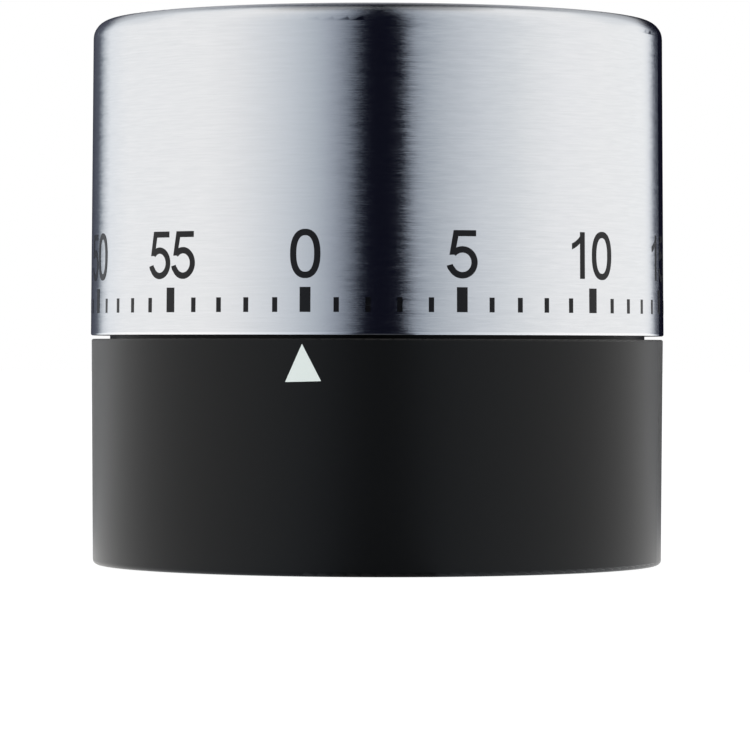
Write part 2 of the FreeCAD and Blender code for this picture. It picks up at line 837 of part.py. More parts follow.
def great_wheel():
    wheel = gear(
        great_wheel_teeth, great_wheel_module, wheel_addendum, pinion_addendum,
        great_wheel_bottom, great_wheel_top, centre_point, second_angle,
    )
    for i in range(6):
        at = polar(great_wheel_hole_circle, 60 * i + 30)
        wheel = wheel.cut(cylinder(great_wheel_hole_radius, great_wheel_bottom - 1, great_wheel_top + 1, at))
    for at in pawl_points() + click_post_points():
        wheel = wheel.cut(cylinder(pawl_pivot_radius, great_wheel_bottom - 1, great_wheel_top + 1, at))
    return wheel.cut(cylinder(arbor_radius, great_wheel_bottom - 1, great_wheel_top + 1))


def ratchet_wheel():
    wheel = saw_wheel(
        ratchet_teeth, ratchet_radius, ratchet_tooth_depth, 0.0, ratchet_bottom, ratchet_top, centre_point, 0
    )
    return wheel.cut(cylinder(arbor_radius, ratchet_bottom - 1, ratchet_top + 1))


def pawl_points():
    return [polar(pawl_circle, a) for a in (0.0, 180.0)]


def pawl_tips():
    """Each pawl's tip stands just ahead of a tooth's steep face, over the floor of the gap."""
    reach = ratchet_radius - ratchet_tooth_depth + 0.35
    tooth = -2 * 360 / ratchet_teeth
    ahead = math.degrees(0.33 / reach) + 1.2
    return [polar(reach, tooth + ahead + turn) for turn in (0.0, 180.0)]


def click_pawls():
    top = ratchet_top
    pawls = []
    for at, tip in zip(pawl_points(), pawl_tips()):
        body = fuse(
            cylinder(pawl_boss_radius, ratchet_bottom, top, at),
            wedge(tip, at, 0.3, pawl_width, ratchet_bottom, top),
        )
        pawls.append(body.cut(cylinder(pawl_pivot_radius, ratchet_bottom - 1, top + 1, at)))
    return Part.Compound(pawls)


def pawl_rivets():
    rivets = []
    for at in pawl_points():
        top = ratchet_top
        rivets.append(
            fuse(
                cylinder(pawl_pivot_radius, great_wheel_bottom, top + 0.2, at),
                cylinder(pawl_pivot_radius + 0.4, top, top + 0.4, at),
            )
        )
    return Part.Compound(rivets)


def click_post_points():
    return [polar(pawl_circle + 1.4, a) for a in (-31.0, 149.0)]


def click_springs():
    """A post on the great wheel for each pawl, with a leaf that bears on the pawl's outer flank."""
    top = ratchet_top
    springs = []
    for at, tip, post in zip(pawl_points(), pawl_tips(), click_post_points()):
        root, end = V(*at, 0), V(*tip, 0)
        along = (end - root).normalize()
        outward = V(-along.y, along.x, 0)
        share = 0.6
        half_width = (pawl_width + share * (0.3 - pawl_width)) / 2
        touch = root + (end - root) * share + outward * (half_width + click_spring_thickness / 2 + 0.04)
        leaf = bar((touch.x, touch.y), post, click_spring_thickness, ratchet_bottom + 0.1, top - 0.1)
        springs.append(fuse(leaf, cylinder(click_post_radius, great_wheel_bottom, top, post)))
    return Part.Compound(springs)


def alarm_cam():
    disc = cylinder(cam_radius, cam_bottom, cam_top)
    mouth_low = polar(cam_radius + 1, notch_angle - notch_half_width * 1.4)
    mouth_high = polar(cam_radius + 1, notch_angle + notch_half_width * 1.4)
    floor = polar(cam_radius - notch_depth, notch_angle)
    corners = [V(*p, cam_bottom - 1) for p in (mouth_low, floor, mouth_high)]
    notch = Part.Face(Part.makePolygon(corners + corners[:1])).extrude(UP * (cam_thickness + 2))
    hub = cylinder(cam_hub_radius, ratchet_top, cam_bottom + 0.5)
    return fuse(disc.cut(notch), hub).cut(cylinder(arbor_radius, ratchet_bottom - 1, cam_top + 1))


# ================================================================ spring barrel
def spring_barrel():
    gear_disc = gear(
        barrel_gear_teeth, barrel_gear_module, wheel_addendum, pinion_addendum,
        barrel_gear_bottom, barrel_gear_top, centre_point, strike_angle,
    )
    wall = ring(barrel_radius, barrel_radius - barrel_wall, barrel_gear_top - 0.3, barrel_cover_bottom)
    body = fuse(gear_disc, wall)
    return body.cut(cylinder(arbor_radius + shaft_clearance, barrel_gear_bottom - 1, barrel_gear_top + 1))


def barrel_cover():
    return ring(barrel_radius, arbor_radius + shaft_clearance, barrel_cover_bottom, barrel_cover_top)


def mainspring():
    return flat_spiral(
        core_radius + 0.01, barrel_radius - barrel_wall - 0.02, spring_turns, spring_thickness,
        barrel_gear_top + spring_end_gap, barrel_cover_bottom - spring_end_gap, centre_point, 20,
    )


# ================================================================ wheel train
def train_wheel(at, towards, bottom):
    """A crossed-out wheel with a tooth on the line to the next pinion."""
    top = bottom + train_wheel_thickness
    facing = bearing(at, towards)
    wheel = gear(train_wheel_teeth, train_module, wheel_addendum, pinion_addendum, bottom, top, at, facing)
    for i in range(4):
        wheel = wheel.cut(cylinder(crossing_radius, bottom - 1, top + 1, polar(crossing_circle, facing + 90 * i, at)))
    return wheel.cut(cylinder(shaft_radius, bottom - 1, top + 1, at))


def pinion_arbor(at, wheel_at, leaves, module, wheel_bottom, wheel_top):
    """An arbor with its pinion, a gap between two leaves facing the wheel that drives it."""
    gap = bearing(at, wheel_at) + 180 / leaves
    leaves_solid = gear(
        leaves, module, pinion_addendum, wheel_addendum,
        wheel_bottom - pinion_overhang / 2, wheel_top + pinion_overhang, at, gap,
    )
    return shaft(at, [leaves_solid])


def train_pinion(at, wheel_at, bottom):
    return pinion_arbor(at, wheel_at, train_pinion_leaves, train_module, bottom, bottom + train_wheel_thickness)


def second_pinion():
    return pinion_arbor(
        second_at, centre_point, first_pinion_leaves, great_wheel_module, great_wheel_bottom, great_wheel_top
    )


def strike_pinion():
    return pinion_arbor(
        strike_at, centre_point, strike_pinion_leaves, barrel_gear_module, barrel_gear_bottom, barrel_gear_top
    )


def pointed_wheel(at, towards, teeth, radius, depth, bottom, top):
    wheel = saw_wheel(teeth, radius, depth, 0.5, bottom, top, at, bearing(at, towards))
    return wheel.cut(cylinder(shaft_radius, bottom - 1, top + 1, at))


def escape_wheel():
    return pointed_wheel(
        escape_at, balance_at, escape_teeth, escape_radius, escape_tooth_depth, escape_wheel_bottom, escape_wheel_top
    )


def strike_wheel():
    return pointed_wheel(
        strike_at, hammer_at, strike_teeth, strike_radius, strike_tooth_depth, strike_wheel_bottom, strike_wheel_top
    )


def pallet_anchor():
    return pallets(
        escape_at, balance_at, escape_radius, escape_teeth, escape_wheel_bottom, escape_wheel_top, 1.6
    )


def balance_wheel():
    bottom = balance_bottom
    top = bottom + balance_thickness
    rim = ring(balance_radius, balance_radius - balance_rim, bottom, top, balance_at)
    hub = cylinder(1.5, bottom, top, balance_at)
    arm = bar(
        polar(balance_radius - 0.5, 20, balance_at), polar(balance_radius - 0.5, 200, balance_at), 0.9, bottom, top - 0.3
    )
    return fuse(rim, hub, arm).cut(cylinder(shaft_radius, bottom - 1, top + 1, balance_at))


def hairspring():
    return flat_spiral(
        hairspring_inner, hairspring_outer, hairspring_turns, hairspring_thickness,
        hairspring_bottom, hairspring_bottom + hairspring_width, balance_at, 0,
    )


def hairspring_collet():
    top = hairspring_bottom + hairspring_width + 0.3
    return ring(hairspring_inner, shaft_radius, hairspring_bottom - 0.3, top, balance_at)


def hairspring_stud():
    return cylinder(hairspring_stud_radius, hairspring_bottom - 0.2, upper_plate_top, hairspring_end)


# ================================================================ release spring
def release_post():
    """A shouldered stud riveted in the upper plate that holds the release spring's root."""
    return fuse(
        cylinder(release_post_radius, cam_bottom - 0.4, upper_plate_bottom, release_root),
        cylinder(release_post_radius * 0.6, upper_plate_bottom - 0.5, upper_plate_top, release_root),
    )


def release_spring():
    """A leaf on the post with a nose that rests in the cam's notch, and a pin beside the hammer's wire."""
    nose = polar(cam_radius - notch_depth + 0.9, notch_angle)
    shoulders = [polar(release_shoulder_circle, notch_angle + side * notch_half_width * 1.3) for side in (1, -1)]
    end = polar(release_end_circle, release_end_angle)
    route = [release_root, shoulders[0], nose, shoulders[1], end]
    pieces = [bar(a, b, release_thickness, cam_bottom, cam_top) for a, b in zip(route, route[1:])]
    eye = cylinder(release_post_radius + 0.4, cam_bottom, cam_top, release_root)
    pin = cylinder(release_pin_radius, lower_plate_top + release_pin_end, cam_top, end)
    return fuse(eye, pin, *pieces).cut(cylinder(release_post_radius, cam_bottom - 1, cam_top + 1, release_root))


# ================================================================ every piece, by name
pieces = {
    "steel_cap": steel_cap,
    "dial_carrier": dial_carrier,
    "hub_screw": hub_screw,
    "main_arbor": main_arbor,
    "arbor_clip": arbor_clip,
    "spring_core": spring_core,
    "great_wheel": great_wheel,
    "ratchet_wheel": ratchet_wheel,
    "click_pawls": click_pawls,
    "pawl_rivets": pawl_rivets,
    "click_springs": click_springs,
    "alarm_cam": alarm_cam,
    "base_shell": base_shell,
    "bottom_cover": bottom_cover,
    "foot_ring": foot_ring,
    "cover_screws": cover_screws,
    "movement_screws": movement_screws,
    "bell": bell,
    "bell_screw": bell_screw,
    "lower_plate": lower_plate,
    "upper_plate": upper_plate,
    "plate_pillars": plate_pillars,
    "pillar_nuts": pillar_nuts,
    "stop_post": stop_post,
    "release_post": release_post,
    "release_spring": release_spring,
    "hairspring_stud": hairspring_stud,
    "spring_barrel": spring_barrel,
    "barrel_cover": barrel_cover,
    "mainspring": mainspring,
    "second_pinion": second_pinion,
    "second_wheel": lambda: train_wheel(second_at, third_at, second_wheel_bottom),
    "third_pinion": lambda: train_pinion(third_at, second_at, second_wheel_bottom),
    "third_wheel": lambda: train_wheel(third_at, fourth_at, third_wheel_bottom),
    "fourth_pinion": lambda: train_pinion(fourth_at, third_at, third_wheel_bottom),
    "fourth_wheel": lambda: train_wheel(fourth_at, escape_at, fourth_wheel_bottom),
    "escape_pinion": lambda: train_pinion(escape_at, fourth_at, fourth_wheel_bottom),
    "escape_wheel": escape_wheel,
    "balance_staff": lambda: shaft(balance_at),
    "pallet_anchor": pallet_anchor,
    "balance_wheel": balance_wheel,
    "hairspring": hairspring,
    "hairspring_collet": hairspring_collet,
    "strike_pinion": strike_pinion,
    "strike_wheel": strike_wheel,
    "hammer_arbor": lambda: shaft(hammer_at),
    "hammer_lever": hammer_lever,
    "hammer_arm": hammer_arm,
    "hammer_head": hammer_head,
}

os.makedirs("parts", exist_ok=True)
for name, make in pieces.items():
    shape = make()
    solids = shape.Solids
    bad = [s for s in solids if not s.isValid() or s.Volume <= 0]
    if bad or not solids:
        raise SystemExit(f"{name} did not build as closed solids")
    kept = solids[0] if len(solids) == 1 else Part.Compound(solids)
    kept.exportStep(f"parts/{name}.step")
    print(f"{name}: {len(solids)} solid(s), {sum(s.Volume for s in solids):.1f} mm3")
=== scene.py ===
"""Finishes, printed minute scale and studio for the wind-up kitchen timer."""

import json
import math

import bmesh
import bpy
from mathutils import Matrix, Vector
from mathutils.geometry import delaunay_2d_cdt


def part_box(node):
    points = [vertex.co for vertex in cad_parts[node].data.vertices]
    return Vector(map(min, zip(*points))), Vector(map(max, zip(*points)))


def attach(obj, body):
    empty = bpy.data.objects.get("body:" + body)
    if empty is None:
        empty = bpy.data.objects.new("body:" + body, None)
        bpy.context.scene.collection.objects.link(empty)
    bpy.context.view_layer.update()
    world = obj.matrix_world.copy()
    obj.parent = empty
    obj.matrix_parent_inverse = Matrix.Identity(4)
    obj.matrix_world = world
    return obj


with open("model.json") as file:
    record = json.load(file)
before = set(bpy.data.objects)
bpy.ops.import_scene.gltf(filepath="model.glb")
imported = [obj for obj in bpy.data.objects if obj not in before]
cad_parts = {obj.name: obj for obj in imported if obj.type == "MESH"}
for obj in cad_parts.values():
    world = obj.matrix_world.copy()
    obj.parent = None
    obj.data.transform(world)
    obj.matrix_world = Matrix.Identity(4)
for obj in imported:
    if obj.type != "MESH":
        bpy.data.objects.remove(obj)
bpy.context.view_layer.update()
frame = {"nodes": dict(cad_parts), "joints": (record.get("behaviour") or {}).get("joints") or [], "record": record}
MM = 0.001

# ---------------------------------------------------------------- camera and studio
camera_turn = 13.76  # degrees to the right of the pointer
camera_distance = 0.4749
camera_height = 0.02261
camera_lens = 217.18
camera_aim = (-0.00023, 0.01988)  # sideways, and height at the timer's axis
camera_roll = 0.002
floor_radius = 4.0

# ---------------------------------------------------------------- printed scale, in mm above the cap's lower edge
minutes = 60
tick_bottom = 2.28
minute_tick = (0.54, 1.46)  # width, height
five_tick = (1.10, 2.47)
number_base = 5.70
number_height = 4.68
number_stroke = 0.64
digit_pitch = 3.38
ink_lift = 0.012
ink_step = 0.35  # widest flat facet of print round the cap
pointer_size = (3.68, 3.73)
pointer_below_edge = 0.51
pointer_lean = 1.5
pointer_turn = -0.6  # the dial stands this much past zero


# ================================================================ finishes: sockets, nodes and materials
class Socket:
    """An output socket. Arithmetic on it adds Math nodes to its tree."""

    def __init__(self, tree, socket):
        self.tree = tree
        self.socket = socket

    def math(self, operation, first, second=0.0):
        return self.tree.node("ShaderNodeMath", {"operation": operation}, {0: first, 1: second})

    def __add__(self, other):
        return self.math("ADD", self, other)

    def __radd__(self, other):
        return self.math("ADD", other, self)

    def __sub__(self, other):
        return self.math("SUBTRACT", self, other)

    def __rsub__(self, other):
        return self.math("SUBTRACT", other, self)

    def __mul__(self, other):
        return self.math("MULTIPLY", self, other)

    def __rmul__(self, other):
        return self.math("MULTIPLY", other, self)

    def __truediv__(self, other):
        return self.math("DIVIDE", self, other)

    def __pow__(self, other):
        return self.math("POWER", self, other)


class Tree:
    """A node tree, and the one way that nodes are added to it."""

    def __init__(self, node_tree):
        self.nodes = node_tree.nodes
        self.links = node_tree.links
        self.nodes.clear()

    def node(self, kind, settings=None, values=None, out=0):
        made = self.nodes.new(kind)
        for name, value in (settings or {}).items():
            if name == "stops":
                ramp = made.color_ramp
                while len(ramp.elements) < len(value):
                    ramp.elements.new(0.5)
                for element, (place, colour) in zip(ramp.elements, value):
                    element.position = place
                    element.color = (*colour, 1.0)
            else:
                setattr(made, name, value)
        for name, value in (values or {}).items():
            if isinstance(value, Socket):
                self.links.new(value.socket, made.inputs[name])
            else:
                made.inputs[name].default_value = value
        return Socket(self, made.outputs[out]) if len(made.outputs) else made

    def part(self, vector, out):
        return self.node("ShaderNodeSeparateXYZ", None, {0: vector}, out)

    def between(self, value, low, high):
        """0 below low, 1 above high, and smooth between."""
        settings = {"interpolation_type": "SMOOTHSTEP"}
        return self.node("ShaderNodeMapRange", settings, {0: value, 1: low, 2: high, 3: 0.0, 4: 1.0})

    def mix(self, factor, first, second):
        """Two colours mixed by a factor."""
        return self.node("ShaderNodeMix", {"data_type": "RGBA"}, {0: factor, 6: first, 7: second}, 2)


class Finish(Tree):
    """A material on one Principled shader. Constants go straight on its sockets."""

    def __init__(self, name, **constants):
        self.material = bpy.data.materials.new(name)
        self.material.use_nodes = True
        super().__init__(self.material.node_tree)
        self.shader = self.nodes.new("ShaderNodeBsdfPrincipled")
        output = self.nodes.new("ShaderNodeOutputMaterial")
        self.links.new(self.shader.outputs[0], output.inputs[0])
        for socket, value in constants.items():
            self.shader.inputs[socket.replace("_", " ")].default_value = value
        self.place = self.node("ShaderNodeTexCoord", None, None, "Object")

    def feed(self, socket, value):
        self.links.new(value.socket, self.shader.inputs[socket])

    def noise(self, size, detail=3.0, rough=0.55, at=None):
        """Noise from 0 to 1 whose grain is size = (x, y, z) in millimetres."""
        scale = tuple(1.0 / (s * MM) for s in size)
        settings = {"operation": "MULTIPLY"}
        spread = self.node("ShaderNodeVectorMath", settings, {0: at or self.place, 1: scale})
        values = {"Vector": spread, "Scale": 1.0, "Detail": detail, "Roughness": rough}
        return self.node("ShaderNodeTexNoise", None, values, 0)

    def brush_lines(self):
        """Places whose z runs up the wall and on to the middle of the top, across marks that go round."""
        x, y, z = (self.part(self.place, i) for i in range(3))
        return self.node("ShaderNodeCombineXYZ", None, {0: x, 1: y, 2: z - (x * x + y * y) ** 0.5})

    def bump(self, height, depth, after=None):
        """A Bump on Normal. depth is in millimetres for a height from 0 to 1."""
        values = {"Strength": 1.0, "Distance": depth * MM, "Height": height}
        if after:
            values["Normal"] = after
        return self.node("ShaderNodeBump", None, values, 0)

    def leaned(self, amount, by):
        """The surface's normal, leaned sideways round the upright axis, as a brush mark leans it."""
        normal = self.node("ShaderNodeNewGeometry", None, None, "Normal")
        sideways = self.node("ShaderNodeVectorMath", {"operation": "CROSS_PRODUCT"}, {0: (0.0, 0.0, 1.0), 1: normal})
        lean = self.node("ShaderNodeVectorMath", {"operation": "SCALE"}, {0: sideways, "Scale": amount * by})
        total = self.node("ShaderNodeVectorMath", None, {0: normal, 1: lean})
        return self.node("ShaderNodeVectorMath", {"operation": "NORMALIZE"}, {0: total})

    def tint(self, factor, low, high):
        self.feed("Base Color", self.mix(factor, (*low, 1.0), (*high, 1.0)))


def shade(colour, by):
    return tuple(max(0.0, min(1.0, c * by)) for c in colour)


def drawn_steel():
    """The cap: steel drawn and brushed round its axis, with a polished lower lip whose lighter colour is a painted
    highlight.
    """
    f = Finish("brushed steel cap", Metallic=1.0, Anisotropic=1.0, Anisotropic_Rotation=0.25)
    height = f.part(f.place, 2)
    along = f.brush_lines()
    streak = f.noise((4.5, 4.5, 0.12), 3.0, 0.6, along)
    scratch = f.noise((1.5, 1.5, 0.07), 2.0, 0.7, along)
    dapple = f.noise((2.6, 2.6, 0.45), 3.0, 0.6, along)
    low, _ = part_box("steel_cap")
    # the lowest band of the cap: its lower roughness is real polish, and its lightened colour is a painted highlight
    lip_polish_and_highlight = 1.0 - f.between(height, low.z + 0.22 * MM, low.z + 0.36 * MM)
    tone = f.between(0.45 * streak + 0.25 * scratch + 0.30 * dapple, 0.25, 0.75)
    brushed = f.mix(tone, (0.752, 0.770, 0.790, 1.0), (0.836, 0.850, 0.866, 1.0))
    # painted highlight: the lip's colour is lighter than the steel so that its edge shines bright
    f.feed("Base Color", f.mix(lip_polish_and_highlight, brushed, (0.965, 0.975, 0.985, 1.0)))
    f.feed("Roughness", (0.115 + 0.09 * streak + 0.03 * dapple) * (1.0 - 0.4 * lip_polish_and_highlight))
    leaned = f.leaned(0.25 * streak + 0.35 * scratch + 0.40 * dapple - 0.5, 0.09)
    f.feed("Normal", f.bump(0.6 * streak + 0.4 * scratch, 0.010, leaned))
    return f.material


def moulded(name, colour, rough, specular, grain, depth, wear=0.12, sheen=0.0, sheen_tint=(1.0, 1.0, 1.0)):
    """Moulded plastic or rubber with a fine spark-eroded grain and slow variation in tone."""
    f = Finish(name, Specular_IOR_Level=specular, Sheen_Weight=sheen, Sheen_Roughness=0.4)
    f.shader.inputs["Sheen Tint"].default_value = (*sheen_tint, 1.0)
    fine = f.noise((grain, grain, grain), 2.0, 0.6)
    slow = f.noise((14.0, 14.0, 9.0), 3.0)
    f.tint(0.5 * fine + 0.5 * slow, shade(colour, 1.0 - wear), shade(colour, 1.0 + wear))
    f.feed("Roughness", rough - 0.04 + 0.05 * slow + 0.05 * fine)
    f.feed("Normal", f.bump(fine, depth))
    return f.material


def sheet_metal(name, colour, rough, grain, depth=0.004, wear=0.08):
    """Flat metal brushed one way. grain is the size of a brush mark along x, y and z."""
    f = Finish(name, Metallic=1.0)
    marks = f.noise(grain, 2.0, 0.65)
    slow = f.noise((7.0, 7.0, 7.0), 3.0)
    f.tint(0.5 * marks + 0.5 * slow, shade(colour, 1.0 - wear), shade(colour, 1.0 + wear))
    f.feed("Roughness", rough - 0.05 + 0.08 * marks + 0.05 * slow)
    f.feed("Normal", f.bump(marks, depth))
    return f.material


def turned_metal(name, colour, rough, pitch, depth=0.004, wear=0.06, round_axis=(0.0, 0.0)):
    """Metal turned or lapped in rings about an upright axis."""
    f = Finish(name, Metallic=1.0)
    centred = f.node(
        "ShaderNodeVectorMath", {"operation": "SUBTRACT"}, {0: f.place, 1: (*round_axis, 0.0)}
    )
    x, y, z = f.part(centred, 0), f.part(centred, 1), f.part(centred, 2)
    radius = (x * x + y * y) ** 0.5
    across = f.node("ShaderNodeCombineXYZ", None, {0: radius, 1: 0.0, 2: z})
    rings = f.noise((pitch, pitch, pitch), 2.0, 0.7, across)
    slow = f.noise((5.0, 5.0, 5.0), 3.0)
    f.tint(0.5 * rings + 0.5 * slow, shade(colour, 1.0 - wear), shade(colour, 1.0 + wear))
    f.feed("Roughness", rough - 0.05 + 0.08 * rings + 0.05 * slow)
    f.feed("Normal", f.bump(rings, depth))
    return f.material


def blued_steel(name):
    """Hardened and tempered steel: dark blue with straw and purple where the heat varied."""
    f = Finish(name, Metallic=1.0)
    heat = f.noise((4.0, 4.0, 4.0), 3.0)
    marks = f.noise((0.2, 0.2, 0.6), 2.0, 0.7)
    stops = [
        (0.30, (0.05, 0.08, 0.20)),
        (0.48, (0.09, 0.12, 0.27)),
        (0.60, (0.16, 0.11, 0.22)),
        (0.72, (0.30, 0.22, 0.14)),
    ]
    f.feed("Base Color", f.node("ShaderNodeValToRGB", {"stops": stops}, {0: heat}))
    f.feed("Roughness", 0.24 + 0.10 * marks)
    f.feed("Normal", f.bump(marks, 0.003))
    return f.material


def printed_ink():
    """Screen-printed black on the cap: slightly glossy, following the brushed ground."""
    f = Finish("black printing ink", Specular_IOR_Level=0.28)
    ground = f.noise((4.5, 4.5, 0.12), 3.0, 0.6, f.brush_lines())
    speck = f.noise((0.25, 0.25, 0.25), 2.0)
    f.tint(speck, (0.0015, 0.0017, 0.0028), (0.0032, 0.0034, 0.0048))
    f.feed("Roughness", 0.22 + 0.08 * ground)
    f.feed("Normal", f.bump(0.7 * ground + 0.3 * speck, 0.004))
    return f.material


def printed_white():
    """Pad-printed off-white on the base, over its fine grain."""
    f = Finish("white printing ink", Specular_IOR_Level=0.35)
    speck = f.noise((0.18, 0.18, 0.18), 3.0)
    slow = f.noise((2.5, 2.5, 2.5), 2.0)
    f.tint(0.4 * speck + 0.6 * slow, (0.72, 0.79, 0.75), (0.80, 0.86, 0.82))
    f.feed("Roughness", 0.5 + 0.1 * speck)
    f.feed("Normal", f.bump(speck, 0.004))
    return f.material


# ================================================================ the minute scale
UNIT = number_height / 1466  # numerals are drawn on a grid 1466 high
STROKE = number_stroke / UNIT


def ribbon(points, width, closed=False):
    """Quads along a line of points, as wide as a pen stroke."""
    count = len(points)
    sides = []
    for i, p in enumerate(points):
        before = points[i - 1] if i or closed else p
        after = points[(i + 1) % count] if i < count - 1 or closed else p
        along = Vector((after[0] - before[0], after[1] - before[1])).normalized()
        side = Vector((-along.y, along.x)) * (width / 2)
        sides.append((Vector(p) + side, Vector(p) - side))
    steps = count if closed else count - 1
    pairs = [(sides[i], sides[(i + 1) % count]) for i in range(steps)]
    return [[a[0], a[1], b[1], b[0]] for a, b in pairs]


def oval(centre, size, start, end, steps=40, squareness=1.0):
    """Points on an oval from one angle to another. A squareness under 1 flattens its sides."""
    points = []
    for i in range(steps + 1):
        a = math.radians(start + (end - start) * i / steps)
        c, s = math.cos(a), math.sin(a)
        x = math.copysign(abs(c) ** squareness, c)
        y = math.copysign(abs(s) ** squareness, s)
        points.append((centre[0] + size[0] * x, centre[1] + size[1] * y))
    return points


def bend(a, b, c, d, steps=16):
    """Points on a cubic curve."""
    points = []
    for i in range(steps + 1):
        t = i / steps
        weights = ((1 - t) ** 3, 3 * t * (1 - t) ** 2, 3 * t * t * (1 - t), t**3)
        points.append(tuple(sum(w * p[k] for w, p in zip(weights, (a, b, c, d))) for k in (0, 1)))
    return points


def numeral(digit):
    """The polygons of a plain sans-serif numeral."""
    if digit == 0:
        return ribbon(oval((520, 733), (385, 662), 0, 360, 64, 0.86)[:-1], STROKE, closed=True)
    if digit == 1:
        flag = bend((650, 1466), (560, 1315), (420, 1185), (190, 1105), 8)
        under = bend((550, 1125), (450, 1035), (320, 958), (190, 920), 8)
        upper = [[a, b, d, c] for a, b, c, d in zip(flag, flag[1:], under, under[1:])]
        return [[(550, 0), (550 + STROKE, 0), (550 + STROKE, 1466), (550, 1466)]] + upper
    if digit == 2:
        bowl = oval((530, 1020), (385, 368), 172, -25, 30)
        run = bend(bowl[-1], (bowl[-1][0] - 90, 660), (190, 440), (150, 80), 20)
        foot = [[(56, 0), (1010, 0), (1010, STROKE * 0.93), (56, STROKE * 0.93)]]
        return ribbon(bowl + run[1:], STROKE) + foot
    if digit == 3:
        upper = ribbon(oval((520, 1092), (358, 296), 166, -90, 30), STROKE)
        lower = ribbon(oval((530, 438), (412, 360), 90, -168, 34), STROKE)
        spur = [[(400, 798 - STROKE / 2), (560, 798 - STROKE / 2), (560, 798 + STROKE / 2), (400, 798 + STROKE / 2)]]
        return upper + lower + spur
    if digit == 4:
        stem = [(650, 0), (650 + STROKE, 0), (650 + STROKE, 1466), (650, 1466)]
        bar = [(20, 340), (1040, 340), (1040, 340 + STROKE * 0.9), (20, 340 + STROKE * 0.9)]
        slope = [(20, 340 + STROKE * 0.9), (240, 340 + STROKE * 0.9), (650 + STROKE * 0.5, 1230), (670, 1466)]
        return [stem, bar, slope]
    bar = [(250, 1466 - STROKE * 0.94), (975, 1466 - STROKE * 0.94), (975, 1466), (250, 1466)]
    stem = [(250, 1466), (398, 1466 - STROKE * 0.94), (316, 860), (288, 705), (112, 700)]
    bowl = oval((530, 470), (395, 400), 138, -150, 48)
    tail = bend(bowl[-1], (150, 300), (135, 335), (122, 392), 6)
    return [bar, stem] + ribbon(bowl + tail[1:], STROKE)


def spread(polygons):
    """The lowest and highest x of some polygons."""
    xs = [p[0] for q in polygons for p in q]
    return min(xs), max(xs)


def minute_number(value):
    """A minute number's polygons in millimetres, centred on x = 0, standing on y = 0."""
    placed = []
    for i, digit in enumerate(str(value)):
        polygons = numeral(int(digit))
        placed += [[(p[0] * UNIT + i * digit_pitch, p[1] * UNIT) for p in q] for q in polygons]
    low, high = spread(placed)
    return [[(x - (low + high) / 2, y) for x, y in q] for q in placed]


def block(width, height):
    return [[(-width / 2, 0.0), (width / 2, 0.0), (width / 2, height), (-width / 2, height)]]


def flat_print(polygons):
    """One clean triangulated patch that covers all the polygons, cut by upright lines so that it can be wrapped."""
    points, faces = [], []
    for q in polygons:
        pairs = zip(q, q[1:] + q[:1])
        anticlockwise = sum(a[0] * b[1] - b[0] * a[1] for a, b in pairs) > 0
        faces.append(list(range(len(points), len(points) + len(q))))
        points += [Vector((p[0], p[1])) for p in (q if anticlockwise else q[::-1])]
    low, high = spread(polygons)
    bottom = min(p.y for p in points) - 1.0
    top = max(p.y for p in points) + 1.0
    edges = []
    for i in range(1, int((high - low) / ink_step) + 1):
        x = low + i * ink_step
        edges.append((len(points), len(points) + 1))
        points += [Vector((x, bottom)), Vector((x, top))]
    corners, _, triangles, _, _, sources = delaunay_2d_cdt(points, edges, faces, 0, 1e-5)
    return corners, [t for t, source in zip(triangles, sources) if source]


def wall_radius(node, height):
    """The outer radius of a turned CAD piece at a height, both in metres, from its widest points."""
    rings = {}
    for v in frame["nodes"][node].data.vertices:
        key = round(v.co.z / (0.01 * MM))
        rings[key] = max(rings.get(key, 0.0), math.hypot(v.co.x, v.co.y))
    widest = max(rings.values())
    levels = sorted((k * 0.01 * MM, r) for k, r in rings.items() if r > widest - 0.6 * MM)
    for (z0, r0), (z1, r1) in zip(levels, levels[1:]):
        if z0 <= height <= z1:
            return r0 + (r1 - r0) * (height - z0) / (z1 - z0)
    return levels[-1][1]


def wrapped(name, marks, node, body, material):
    """Marks as one mesh on a round wall. Each mark is (polygons, degrees from the pointer, height in metres, lean)."""
    low_end, high_end = (wall_radius(node, h) for h in print_levels[node])
    z0, z1 = print_levels[node]
    mesh = bmesh.new()
    for polygons, turn, base, lean in marks:
        points, faces = flat_print(polygons)
        tilt = math.radians(lean)
        corners = []
        for p in points:
            x = p.x * math.cos(tilt) - p.y * math.sin(tilt)
            y = p.x * math.sin(tilt) + p.y * math.cos(tilt)
            z = base + y * MM
            radius = low_end + (high_end - low_end) * (z - z0) / (z1 - z0)
            angle = math.radians(turn - 90) + x * MM / radius
            radius += ink_lift * MM
            corners.append(mesh.verts.new((radius * math.cos(angle), radius * math.sin(angle), z)))
        used = set()
        for face in faces:
            made = mesh.faces.new([corners[i] for i in face])
            made.smooth = True
            used.update(face)
        for i, corner in enumerate(corners):
            if i not in used:
                mesh.verts.remove(corner)
    bmesh.ops.recalc_face_normals(mesh, faces=mesh.faces)
    mesh.faces.ensure_lookup_table()
    outward = mesh.faces[0].calc_center_median()
    if mesh.faces[0].normal.dot(Vector((outward.x, outward.y, 0))) < 0:
        bmesh.ops.reverse_faces(mesh, faces=mesh.faces)
    data = bpy.data.meshes.new(name)
    mesh.to_mesh(data)
    mesh.free()
    data.materials.append(material)
    made = bpy.data.objects.new(name, data)
    bpy.context.scene.collection.objects.link(made)
    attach(made, body)
    return made


cap_low, cap_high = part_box("steel_cap")
base_low, base_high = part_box("base_shell")
cap_edge = cap_low.z
base_edge = cap_edge - 0.35 * MM
print_levels = {
    "steel_cap": (cap_edge + 0.5 * MM, cap_high.z - 3.0 * MM),
    "base_shell": (base_low.z + 1.0 * MM, base_edge - 0.5 * MM),
}


